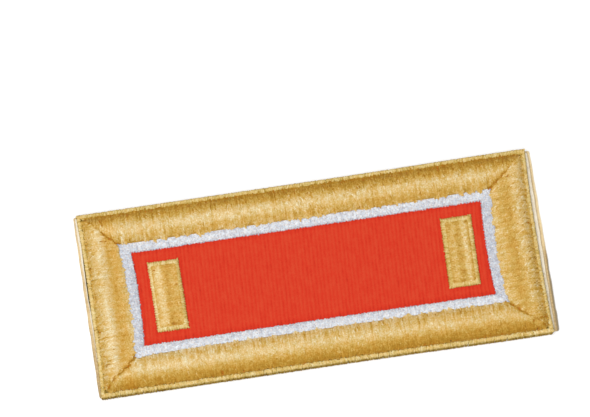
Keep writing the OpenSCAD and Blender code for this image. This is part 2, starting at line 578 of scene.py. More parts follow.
def paddingGrid(side, columns, pitch):
    # places along a side between its mitres, and shares of its width
    share = np.linspace(0, 1, columns)[None, :]
    row = np.linspace(0, 1, int(side["length"] / pitch))[:, None]
    at = share * side["mitres"][0] + row * (side["length"] - share * sum(side["mitres"]))
    return at, np.broadcast_to(share, at.shape)


def layPadding(piece, side, base, height, make, drawn=drawnFace):
    # the plain filling that the stitches are sewn over, arched from side to side
    at, share = paddingGrid(side, make["columns"], make["pitch"])
    rise = base + (height - make["drop"]) * (make["flank"] + make["arch"] * np.sin(np.pi * share))
    inset = make["inset"] + share * (side["width"] - make["narrower"])
    layBlock(piece, drawn(onSide(side, at, inset, rise)), drawn(onSide(side, at, inset, base)), make["tone"])


def forSide(make, name):
    # a piece's values, with those that differ from side to side picked for one side
    number = sideNames.index(name)
    return {**make, **{key: values[number] for key, values in make["bySide"].items()}}


# How each mitre seam wanders from its straight line: reach in mm, turns, start
seamWave = {
    "leftBack": (0.4, 1.0, 0.2),
    "leftFront": (0.5, 1.0, 3.0),
    "rightBack": (0.25, 1.1, 1.0),
    "rightFront": (0.25, 0.9, 4.0),
}


def seamShift(corner, share):
    reach, turns, start = seamWave[corner]
    return reach * np.sin(np.pi * np.clip(share, 0, 1)) * np.sin(2 * np.pi * turns * share + start)


def mitreReach(side, at, waved=True):
    # the share of the width that a stitch at this place may cross before it meets a mitre
    reach = np.ones_like(at)
    for distance, mitre, corner in sideEnds(side, at):
        share = distance / mitre
        if waved:
            way, width = (-1, mitre) if side["lengthwise"] else (1, side["width"])
            share = share + way * seamShift(corner, share) / width
        reach = np.minimum(reach, share)
    return np.clip(reach, 0, 1)


def nearMitre(side, at, share):
    # distance along the side from the nearer mitre seam
    near = np.full(np.broadcast_shapes(at.shape, share.shape), np.inf)
    for distance, mitre, corner in sideEnds(side, at):
        shift = seamShift(corner, share)
        line = share * mitre + shift if side["lengthwise"] else mitre * (share - shift / side["width"])
        near = np.minimum(near, distance - line)
    return near


def seamDark(side, at, share, near):
    # dark patches along the mitre seams, strongest near the white corners
    make = borderMake
    firstHalf = at < side["length"] / 2
    start = np.where(firstHalf, *(seamWave[corner][2] for corner in side["corners"]))
    outer = np.where(firstHalf, *(make["seamOuter"][corner] for corner in side["corners"]))
    seamLength = side["width"] * make["seamSlant"]
    patch = 0.6 + 0.4 * np.sin(2 * np.pi * share * seamLength / make["seamPatch"] + start)
    fade = outer + (1 - outer) * smoothStep((share - 0.35) / 0.3)
    return patch * fade * fadeOut(np.maximum(near, 0), make["seamWidth"])


borderMake = {
    "pitch": 0.26,  # from one stitch to the next, mm
    "stray": 0.03,
    "halfWidth": 0.2,
    "halfHeight": 0.05,
    "endFlat": 0.7,  # share of the threads' height at the left and right end
    "rings": 11,
    "toneSpread": 0.035,
    "overRim": 0.16,  # how far the stitches start over the flat edge
    "overJag": 0.13,
    "sway": (9, 0.035),  # slow wander of the crest: reach in mm, share of the width
    "swell": (14, 0.03),  # the same of the height
    "lean": (11, 0.018),  # and of the stitches' slant
    "leanStray": 0.012,
    # the plain filling below: its grid, how far it keeps in from the edges, its tone
    "padding": {"columns": 15, "pitch": 0.8, "inset": 0.08, "narrower": 0.1, "tone": 0.45},
    "paddingSeam": (0.1, 0.6),  # how much lower it is at the mitres, over how much
    "shortest": 0.5,  # shorter stitches in the corners are left out
    # the stitches' ends at the white strips
    "teeth": 0.1,  # how far every third one runs on into the white
    "jag": 0.07,
    "raggedPitch": 0.62,  # of their slow wander, "ragged" below
    "wave": 0.06,  # how high their nearly even wave is
    "waveStray": (6, 0.5),
    # place along or across the board, how far the ends stand back from the white strips there, mm
    "standBack": {
        "back": [
            (-43.5, 0.4), (-41, 0.15), (-39, -0.05), (-20, -0.1), (-9, 0), (0, 0.06), (9, -0.03), (30, 0),
            (36, 0.2),
        ],
        "front": [
            (-43.5, 0.65), (-41.3, 0.5), (-39, 0.2), (-37, 0.12), (-28, 0), (18, 0.07), (27, -0.05),
            (40, -0.03), (42.5, 0.15),
        ],
        "left": [
            (-11, 0), (-8, -0.2), (0, -0.2), (3, -0.02), (5.5, -0.05), (8, 0.28), (11, 0.25), (13, 0.6),
        ],
        "right": [
            (-13, 0.5), (-11, 0.15), (-8, 0), (-3, -0.2), (3, 0.05), (5.5, 0.25), (11, 0.15), (13, 0.4),
        ],
    },
    "innerDipWidth": 0.4,
    # what differs from side to side: back, front, left, right
    "bySide": {
        "paddingDrop": (0.2, 0.2, 0.32, 0.32),  # from the stitches down to the padding
        "ragged": (0.32, 0.23, 0.2, 0.27),  # how far the stitches' inner ends wander
        "wavePitch": (2.05, 2.5, 2.2, 1.07),  # of those ends' wave
        "innerDip": (0.03, 0.05, 0.02, 0.02),  # down towards the white strips
        "looseLean": (0.18, -0.12, 0.35, -0.6),  # slant of the short filaments
        "looseSlope": (0.24, 0.24, 0.3, 0.3),  # and how far they stray from it
        "rimPits": (7, 7, 5, 11),  # needle holes along the outer edge
        "streak": (0.065, 0.07, 0.02, 0.05),  # lighter and darker bands, inner half
    },
    # short filaments on top
    "loose": 7.0,  # for each stitch below
    "looseRings": 3,
    "looseSpan": (0.45, 1.25),  # mm
    "looseWidth": 0.15,
    "looseHeight": 0.045,
    "looseShift": 0.13,
    "looseTone": 0.08,
    # where two sides meet
    "cornerBlend": 3.2,  # where the two sections flow together, from the mitre
    "toneBlend": 3.6,
    "seamDepth": 0.15,
    # how dark the seams still are at their outer end, as a share
    "seamOuter": {"leftBack": 0.5, "leftFront": 0.8, "rightBack": 0.3, "rightFront": 0.4},
    "seamWidth": 0.46,
    "seamPatch": 1.7,  # from one dark patch to the next along a seam
    "seamSlant": 1.3,  # how much longer a seam is than the border is wide
    "seamRidgeHighlight": 0.22,  # painted highlight of a ridge thread on the ends' side of a seam; the threads are not raised there
    "ridgeAt": (0.36, 0.14),  # its distance from the seam and half its width
    # small needle holes in the outer half, sunk and darkened with painted shade
    "pits": 3,
    "pitShade": 2.1,  # how much the painted shade darkens them
    "pitDepth": 0.12,
    "pitSpread": 0.024,  # mm2
    # how uneven the stitches' lightness is at the outer edge, on the crest and at the inner edge
    "unevenAt": (0.15, 0.5, 0.85),
    "uneven": {
        "back": (3.6, 1.25, 1.3),
        "front": (1.05, 0.65, 2.4),
        "left": (2.4, 0.6, 0.7),
        "right": (2.8, 1.0, 1.35),
    },
    "lightUneven": 1.0,  # the most of it for the lighter ones
    "streakPitch": 0.3,
    "outerShadeDots": 0.12,  # painted shade spots where the stitches go down beside the flat edge
    # how much lighter the outer and the inner half get towards the right or the back end
    "drift": {
        "back": (-0.03, -0.05),
        "front": (-0.045, -0.065),
        "left": (-0.03, 0.0),
        "right": (0.09, 0.01),
    },
    # share of the width from the outer edge, share of the height
    "sideSection": [
        (0, 0.16), (0.05, 0.36), (0.14, 0.56), (0.26, 0.77), (0.39, 0.93), (0.53, 1),
        (0.66, 0.96), (0.78, 0.84), (0.88, 0.68), (0.96, 0.5), (1, 0.34),
    ],
    "endSection": [
        (0, 0.18), (0.04, 0.42), (0.11, 0.72), (0.2, 0.93), (0.31, 1), (0.41, 0.94),
        (0.51, 0.78), (0.61, 0.6), (0.72, 0.49), (0.85, 0.45), (0.95, 0.38), (1, 0.28),
    ],
    # share of the width from the outer edge, how light the thread is: painted shade at the dark foot,
    # painted highlight on the light crest, inner edge; the left side is lighter and the right darker,
    # painted light from the left
    "tone": {
        "back": [(0, 0.2), (0.15, 0.35), (0.35, 0.6), (0.5, 0.75), (0.6, 0.7), (0.8, 0.5), (1, 0.55)],
        "front": [(0, 0.2), (0.25, 0.4), (0.4, 0.6), (0.55, 0.75), (0.7, 0.65), (0.85, 0.6), (1, 0.75)],
        "left": [(0, 0.55), (0.15, 0.65), (0.35, 0.8), (0.45, 0.75), (0.6, 0.5), (0.8, 0.55), (1, 0.65)],
        "right": [(0, 0.5), (0.15, 0.65), (0.35, 0.65), (0.5, 0.4), (0.65, 0.45), (0.8, 0.6), (1, 0.65)],
    },
}


def borderHeight(side, at, share, base, height, sway):
    own, other = ("sideSection", "endSection") if side["lengthwise"] else ("endSection", "sideSection")
    blend = 1 - smoothStep(nearMitre(side, at, share) / borderMake["cornerBlend"])
    moved = share + sway * 4 * share * (1 - share)
    ownRise = throughTable(borderMake[own], moved)
    otherRise = throughTable(borderMake[other], moved)
    return base + height * (ownRise * (1 - blend / 2) + otherRise * blend / 2)


def makeBorder(name, seed):
    rng = np.random.default_rng(seed)
    make = forSide(borderMake, name)
    side = sideOf(name, sewnBorder, sewnPiping)
    node = "border_" + name
    base, height = footAndHeight(node)
    length, width = side["length"], side["width"]
    axis, half = (0, 50) if side["lengthwise"] else (1, 20)  # of the board, half its size about
    flat = 1.0 if side["lengthwise"] else make["endFlat"]
    meets = ("left", "right") if side["lengthwise"] else ("front", "back")
    meetTable = [(share, np.mean([throughTable(make["tone"][meet], share) for meet in meets]))
                 for share in np.linspace(0, 1, 11)]
    piece = newPiece()

    def standBack(at):
        return np.interp(side["start"][axis] + at, *np.array(make["standBack"][name]).T)

    padding = make["padding"]
    padAt, share = paddingGrid(side, padding["columns"], padding["pitch"])
    rise = borderHeight(side, padAt, share, base, height, 0.0) - make["paddingDrop"]
    drop, reach = make["paddingSeam"]
    rise = np.maximum(rise - drop * smoothStep(1 - nearMitre(side, padAt, share) / reach), base + 0.05)
    inset = padding["inset"] + share * (width - padding["narrower"] - np.maximum(standBack(padAt), 0))
    top, bottom = onSide(side, padAt, inset, rise), onSide(side, padAt, inset, base)
    layBlock(piece, drawnFace(top), drawnFace(bottom), padding["tone"])

    # satin stitches from edge to edge, and short loose filaments over them
    at = np.arange(make["pitch"] / 2, length, make["pitch"])
    at = at + rng.normal(0, make["stray"], at.size)
    whole = mitreReach(side, at)
    keep = whole * width > make["shortest"]
    at, whole = at[keep], whole[keep]
    teeth = make["teeth"] * np.where(np.arange(at.size) % 3 == 0, 1, -0.5)
    teeth = teeth + rng.normal(0, make["jag"], at.size)
    raggedAt = np.arange(-2, length + 2, make["raggedPitch"])
    teeth = teeth + make["ragged"] * np.interp(at, raggedAt, rng.normal(0, 1, raggedAt.size))
    waved = (at + wander(rng, at, *make["waveStray"])) / make["wavePitch"]
    teeth = teeth + make["wave"] * np.sin(2 * np.pi * waved)
    sway = wander(rng, at, *make["sway"])
    swell = wander(rng, at, *make["swell"])
    lean = wander(rng, at, *make["lean"]) + rng.normal(0, make["leanStray"], at.size)
    streakAt = np.arange(-2, length + 2, make["streakPitch"])
    streaks = rng.normal(0, 1, streakAt.size)
    pits = rng.uniform((3, 0.3), (length - 3, 0.6 * width), (make["pits"], 2))
    rimPits = rng.uniform((1, 0.05), (length - 1, 0.4), (make["rimPits"], 2))
    pits = np.concatenate([pits, rimPits])

    def lightness(place, inset, share, near, toneShift):
        own, other = throughTable(make["tone"][name], share, 0.04), throughTable(meetTable, share, 0.04)
        blend = 0.5 * (1 - smoothStep(near / make["toneBlend"]))
        uneven = np.interp(share, make["unevenAt"], make["uneven"][name])
        uneven = np.where(toneShift < 0, uneven, np.minimum(uneven, make["lightUneven"]))
        streak = np.interp(place, streakAt, streaks)
        tone = own * (1 - blend) + other * blend + uneven * toneShift
        tone = tone + make["streak"] * smoothStep((share - 0.4) / 0.4) * streak
        # painted shade where the stitches go down beside the flat edge
        tone = tone - make["outerShadeDots"] * np.clip(1 - inset / 0.5, 0, 1) * np.clip(streak, 0, 2)
        # painted highlight along the seam's ridge, on the end sides
        if not side["lengthwise"]:
            away, reach = make["ridgeAt"]
            tone = tone + make["seamRidgeHighlight"] * fadeOut(near - away, reach)
        return tone

    def lay(which, shift, first, last, turn, slope, halfWidth, halfHeight, lifted, toneShift):
        inset, fromMiddle = crossing(first, last, turn)
        share = np.clip(inset / width, 0, 1)
        place = (at[which] + shift)[:, None] + lean[which][:, None] * (inset - width / 2)
        place = place + slope[:, None] * fromMiddle
        rise = borderHeight(side, place, share, base, height, sway[which][:, None])
        rise = base + (rise - base) * (1 + swell[which] + rng.normal(0, 0.015, which.size))[:, None]
        near = nearMitre(side, place, share)
        dark = seamDark(side, place, share, near)
        rise = rise - make["seamDepth"] * dark
        # painted shade in the needle holes, which also sink
        for pitAt, pitInset in pits:
            pit = np.exp(-((place - pitAt) ** 2 + (inset - pitInset) ** 2) / make["pitSpread"])
            dark = dark + make["pitShade"] * pit
            rise = rise - make["pitDepth"] * pit
        dip = make["innerDip"] * np.clip(1 - (width - inset) / make["innerDipWidth"], 0, 1.3) ** 2
        rise = np.maximum(rise - dip + lifted - halfHeight, base - footSlack)
        path = drawnFace(onSide(side, place, inset, rise))
        outerDrift, innerDrift = make["drift"][name]
        drift = outerDrift + (innerDrift - outerDrift) * smoothStep((share - 0.3) / 0.4)
        tone = lightness(place, inset, share, near, toneShift[:, None]) - dark
        tone = tone + drift * path[..., axis] / half
        thin = 0.8 + 0.2 * np.sin(np.pi * np.clip(turn * 1.04 - 0.02, 0, 1)) ** 0.3
        layThreads(piece, path, side["along"], halfWidth * thin, halfHeight * thin, tone, rng)

    still = np.zeros(at.size)
    inner = width - standBack(at)
    mitred = np.minimum(whole * width + rng.normal(0.06, 0.06, at.size), inner + 0.03)
    last = np.where(whole > 0.995, inner + teeth, mitred)
    lifted = rng.normal(0, 0.01, (at.size, 1))
    first = -np.abs(rng.normal(make["overRim"], make["overJag"], at.size))
    lay(np.arange(at.size), still, first, last, easedTurn(make["rings"]), still, make["halfWidth"],
        flat * make["halfHeight"], lifted, rng.normal(0, make["toneSpread"], at.size))
    some = rng.choice(at.size, int(make["loose"] * at.size))
    some.sort()
    span = rng.uniform(*make["looseSpan"], some.size)
    centre = rng.uniform(-0.02, 1.02, some.size) * width
    start = np.clip(centre - span / 2, 0.0, None)
    end = np.minimum(centre + span / 2, last[some] - 0.02)
    good = end - start > 0.35
    some, start, end = some[good], start[good], end[good]
    turn = np.linspace(0, 1, make["looseRings"])
    hump = 0.05 * np.sin(np.pi * turn)[None, :] - 0.025
    lifted = hump + rng.normal(0, 0.012, (some.size, 1))
    lay(some, rng.uniform(-make["looseShift"], make["looseShift"], some.size), start, end, turn,
        rng.normal(make["looseLean"], make["looseSlope"], some.size), make["looseWidth"],
        flat * make["looseHeight"], lifted, rng.normal(0.02, make["looseTone"], some.size))
    obj = finishPiece(node + "_satin_stitches", piece, node, goldThread)


for number, name in enumerate(sideNames):
    makeBorder(name, 11 + number)


pipingMake = {
    "tooth": 0.65,  # from one zigzag point to the next, mm
    "stray": 0.04,
    "halfWidth": 0.2,
    "halfHeight": 0.08,
    "endFlat": 0.75,  # share of the threads' height at the left and right end
    "rings": 7,
    "under": 0.75,  # how far the strips run on under the gold
    "shown": 0.6,  # how much of that may show
    "jag": 0.08,
    "loose": 5.0,  # short filaments on top, for each square millimetre
    "looseSpan": (0.3, 0.75),
    "looseWidth": 0.12,
    "looseSlope": 0.5,
    "innerDip": (0.25, 0.2),  # down towards the red ground: how deep, how wide
    "innerShade": (0.25, 0.25),
    "toneSpread": 0.05,
    # the plain filling below: its grid, how low and how arched it is, its edges and its tone
    "padding": {"columns": 7, "pitch": 1.2, "drop": 0.12, "flank": 0.7, "arch": 0.3, "inset": 0.02,
                "narrower": 0.14, "tone": 0.55},
    # the lower tone of the left and right strips is painted shade
    "bySide": {"tone": (0.525, 0.52, 0.39, 0.36), "looseTone": (0.19, 0.21, 0.11, 0.12)},
}


def makePiping(name, seed):
    rng = np.random.default_rng(seed)
    make = forSide(pipingMake, name)
    under = make["under"]
    side = sideOf(name, insetBox(sewnPiping, -under), sewnField)
    node = "piping_" + name
    base, height = footAndHeight(node)
    length, width = side["length"], side["width"]
    halfHeight = make["halfHeight"] * (1.0 if side["lengthwise"] else make["endFlat"])
    piece = newPiece()

    layPadding(piece, side, base, height, make["padding"])

    def lay(at, first, last, turn, slope, halfWidth, lifted, toneSpread):
        inset, fromMiddle = crossing(first, last, turn)
        place = at[:, None] + slope[:, None] * fromMiddle
        arch = np.sin(np.pi * np.clip(0.3 + 0.62 * (inset - under) / (width - under), 0.05, 1)) ** 0.5
        rise = base + height * arch * (1 + rng.normal(0, 0.04, at.size))[:, None]
        dip, reach = make["innerDip"]
        rise = rise - dip * np.clip(1 - (width - inset) / reach, 0, 1.2) ** 2
        rise = np.maximum(rise - make["halfHeight"] + lifted, base - footSlack)
        shade, reach = make["innerShade"]
        tone = make["tone"] + rng.normal(0, toneSpread, at.size)[:, None]
        tone = tone - shade * np.clip(1 - (width - inset) / reach, 0, 1)
        path = drawnFace(onSide(side, place, inset, rise))
        thin = 0.7 + 0.3 * np.sin(np.pi * turn) ** 0.4
        layThreads(piece, path, side["along"], halfWidth * thin, halfHeight * thin, tone, rng)

    half = make["tooth"] / 2
    for layer in range(2):
        at = np.arange(half / 2 + layer * half / 2, length, half)
        at = at + rng.normal(0, make["stray"], at.size)
        slant = np.where(np.arange(at.size) % 2 == 0, 1, -1) * half * 0.75
        reach = mitreReach(side, at, waved=False)
        keep = reach * width > 0.3
        at, slant, reach = at[keep], slant[keep], reach[keep]
        last = np.where(reach > 0.995, width + rng.normal(0, make["jag"], at.size), reach * width + 0.08)
        lay(at, np.zeros_like(at), last, easedTurn(make["rings"]), slant / width, make["halfWidth"],
            0.01 * layer, make["toneSpread"])
    hidden = under - make["shown"]
    count = int(make["loose"] * (length - 2 * under) * (width - under))
    at = rng.uniform(hidden, length - hidden, count)
    span = rng.uniform(*make["looseSpan"], count)
    centre = rng.uniform(hidden, width, count)
    first = centre - span / 2
    last = np.minimum(centre + span / 2, mitreReach(side, at, waved=False) * width + 0.1)
    good = last - first > 0.25
    turn = np.linspace(0, 1, 3)
    hump = 0.09 * np.sin(np.pi * turn)[None, :] - 0.04 + rng.normal(0, 0.015, (good.sum(), 1))
    slope = rng.normal(0, make["looseSlope"], count)
    lay(at[good], first[good], last[good], turn, slope[good], make["looseWidth"], hump, make["looseTone"])
    finishPiece(node + "_zigzag_stitches", piece, node, whiteThread)


for number, name in enumerate(sideNames):
    makePiping(name, 31 + number)


edgeMake = {
    "width": 1.1,
    "pitch": 0.27,
    "pitchStray": 0.04,
    "stray": 0.03,
    "halfWidth": 0.16,
    "halfHeight": 0.09,
    "slant": 0.22,  # how far a stitch moves along the edge as it crosses it
    "cross": 0.6,  # share of stitches that are crossed by one of the other slant
    # distance in from the outer edge and height above the cloth's foot, mm, down the outside
    "wrap": [(1.1, 1.14), (0.84, 1.16), (0.58, 1.16), (0.32, 1.15), (0.12, 1.09), (-0.03, 0.9)],
    # the ends stop at the face, the long sides are sewn round the sheets below
    "endWrap": [(-0.06, 0.5), (-0.05, 0.15), (0.03, 0.02)],
    "sideWrap": [(-0.08, 0.4), (-0.16, -0.3), (-0.2, -1.1), (-0.16, -1.9)],
    "toneSpread": 0.085,
    "inJag": 0.13,
    "padding": {"columns": 5, "pitch": 1.5, "drop": 0.0, "flank": 0.62, "arch": 0.2, "inset": 0.08,
                "narrower": 0.12, "tone": 0.1},
    "bySide": {
        # the left end's tone is the highest, painted light from the left
        "tone": (0.54, 0.56, 0.62, 0.58),
        "reachIn": (1.0, 0.72, 0.72, 0.86),  # share of the wrap's way in
        "inDark": (0.16, 0.1, 0.28, 0.12),  # painted shade towards the border
        "outShade": (0.5, 0.42, 1.0, 0.8),  # painted shade down the outside
    },
}


def makeEdge(name, seed):
    rng = np.random.default_rng(seed)
    make = forSide(edgeMake, name)
    side = sideOf(name, sewnFace, insetBox(sewnFace, make["width"]))
    node = "edge_" + name
    base, height = footAndHeight(node)
    length, width = side["length"], side["width"]
    piece = newPiece()

    layPadding(piece, side, base, height, make["padding"])
    inwards, above = np.array(make["wrap"] + make["sideWrap" if side["lengthwise"] else "endWrap"]).T
    inwards = inwards * np.where(inwards > 0, make["reachIn"], 1)
    for layer in range(2):
        at = np.arange(make["pitch"] / 2, length, make["pitch"])
        at = at + rng.normal(0, make["pitchStray"], at.size)
        if layer == 1:
            at = at[rng.uniform(0, 1, at.size) < make["cross"]]

        def strayed(spread):
            return rng.normal(0, spread, at.size)[:, None]

        slant = make["slant"] * (-2.0 if layer else 1.0)
        place = at[:, None] + slant * (inwards / width - 0.5) + strayed(make["stray"])
        place = np.clip(place, 0.03, length - 0.03)
        rise = base + above + strayed(make["stray"]) + 0.05 * layer
        reach = np.maximum(mitreReach(side, at, waved=False) * width, 0.06)
        inset = np.minimum(inwards, reach[:, None]) + strayed(make["stray"])
        inset = inset + strayed(make["inJag"]) * (inwards > 0.5)
        outside = np.clip((1 - above) / 0.5, 0, 1) * (inwards < 0.3)
        tone = make["tone"] + strayed(make["toneSpread"])
        # painted shade down the outside and towards the border
        tone = tone - make["outShade"] * rng.uniform(0.5, 1.5, at.size)[:, None] * outside
        tone = tone - make["inDark"] * smoothStep((inset - 0.45) / 0.4)
        path = drawnFace(onSide(side, place, inset, rise))
        layThreads(piece, path, side["along"], make["halfWidth"], make["halfHeight"], tone, rng)
    finishPiece(node + "_overcast_stitches", piece, node, paleGoldThread)


for number, name in enumerate(sideNames):
    makeEdge(name, 51 + number)


groundMake = {
    "margin": 0.6,  # how far the ribs go on under the white strips, mm
    "stepsPerRib": 6,
    "rows": 24,
    "sink": 0.3,  # how far the cloth sinks under the strips, and once more under the border
    "sinkAt": ((1.2, 0.6), (6, 2)),  # from where, over how much
    "edgeShade": (0.36, 1.3),  # how dark and how wide it is beside the white strips
    "ribShade": 0.36,
    "barShade": (0.25, 0.9),
}


def toBothEnds(line, low, high, gap, count):
    # goes on from a line of places to both limits, in wider steps
    before, after = np.linspace(low, line[0] - gap, count), np.linspace(line[-1] + gap, high, count)
    return np.concatenate([before, line, after])


def makeGround():
    low, high = boxOf("ground")
    rng = np.random.default_rng(71)
    make = groundMake
    margin = make["margin"]
    step = ribLook["pitch"] / make["stepsPerRib"]
    ribbed = np.arange(fieldBox["left"] - margin, fieldBox["right"] + margin, step)
    field = np.linspace(fieldBox["front"] - margin, fieldBox["back"] + margin, make["rows"])
    xs, ys = toBothEnds(ribbed, low[0], high[0], 0.5, 8), toBothEnds(field, low[1], high[1], 0.8, 3)
    x, y = np.meshgrid(xs, ys, indexing="ij")
    along = x - ribLook["lean"] * y + wander(rng, x, 17, 0.08) + wander(rng, y, 15, 0.06)
    phase = along / ribLook["pitch"]
    rib = 1 - np.abs(np.cos(np.pi * phase)) ** 3
    number = np.floor(phase)
    strength = 0.75 + wander(rng, number * 1.7, 6, 0.08) + wander(rng, y + number * 5.3, 5, 0.3)
    height = high[2] - ribLook["relief"] * (1 - rib) * strength
    under = beyond(x, y, **fieldBox)
    for start, over in make["sinkAt"]:
        height = height - make["sink"] * smoothStep((under - start) / over)
    dark, reach = make["edgeShade"]
    tone = 0.85 - dark * (1 - smoothStep(-under / reach)) - make["ribShade"] * (1 - rib) * strength
    dark, reach = make["barShade"]
    for bar in ("bar_left_rim", "bar_right_rim"):
        barLow, barHigh = boxOf(bar)
        away = beyond(x, y, barLow[0], barHigh[0], barLow[1], barHigh[1])
        tone = tone - dark * (1 - smoothStep(away / reach))
    piece = newPiece()
    layBlock(piece, drawnFace(gridAt(x, y, height)), drawnFace(gridAt(x, y, low[2])), tone)
    obj = finishPiece("ground_ribbed_cloth", piece, "ground", groundCloth)


makeGround()


barMake = {
    # how far the left, right, front and back side are sewn off their solids, mm
    "shift": {"left": (0.1, -0.05, -0.02, -0.15), "right": (0.15, 0.01, 0.1, -0.02)},
    # how far the pad's stitches run on over the rim at the left, right, front and back
    "over": {"left": (0.3, 0.22, 0.05, 0.05), "right": (0.05, 0.05, 0.05, 0.05)},
    "stray": 0.03,
    "rimPitch": 0.28,
    "rimHalfWidth": 0.16,
    "rimHalfHeight": 0.07,
    "rimRings": 8,
    "rimJag": 0.08,
    "rimSlant": 0.24,
    "rimTone": {"left": (0.72, 0.56, 0.62, 0.66), "right": (0.47, 0.56, 0.55, 0.58)},
    "rimToneSpread": 0.1,
    "rimShade": 0.26,  # down the outside
    "rimPadding": {"columns": 5, "pitch": 0.8, "drop": 0.1, "flank": 0.75, "arch": 0.25, "inset": 0.08,
                   "narrower": 0.12, "tone": 0.35},
    "padPitch": 0.26,
    "padHalfWidth": 0.2,
    "padHalfHeight": 0.038,
    "padRings": 12,
    "padToneSpread": 0.035,
    "endDip": (0.08, 0.4),  # how deep a pad goes down at its front and back end, over how much
    # painted shade at the pads' front and back end: how much darker, over how much
    "endShade": (0.13, 1.1),
    # needle holes in the pads: share of the width, place along the bar, mm
    "pits": {"left": [(0.1, 5.9), (0.93, 2.0), (0.55, -6.6)], "right": [(0.86, 6.5), (0.47, -4.2)]},
    # painted shade in the needle holes: how much darker
    "pitShade": 1.4,
    "pitRadius": 0.16,
    "loose": 12.0,  # short filaments on top, for each square millimetre
    "looseSpan": (0.4, 1.0),
    "looseWidth": 0.14,
    "looseSlope": 0.22,
    "looseTone": 0.075,
    # share of the pad's width from its left, share of its height, how light the thread is: painted highlight
    # on the crests, painted shade in the dip
    "left": [
        (0, 0.84, 0.54), (0.12, 0.93, 0.66), (0.26, 1, 0.8), (0.36, 0.96, 0.74), (0.46, 0.9, 0.51),
        (0.57, 0.84, 0.42), (0.66, 0.85, 0.46), (0.76, 0.88, 0.56), (0.84, 0.86, 0.48), (0.92, 0.84, 0.6),
        (1, 0.8, 0.5),
    ],
    "right": [
        (0, 0.84, 0.42), (0.12, 0.9, 0.52), (0.25, 0.97, 0.62), (0.38, 0.92, 0.46), (0.53, 0.82, 0.35),
        (0.62, 0.86, 0.52), (0.72, 0.93, 0.68), (0.83, 0.95, 0.73), (0.93, 0.86, 0.5), (1, 0.8, 0.34),
    ],
}


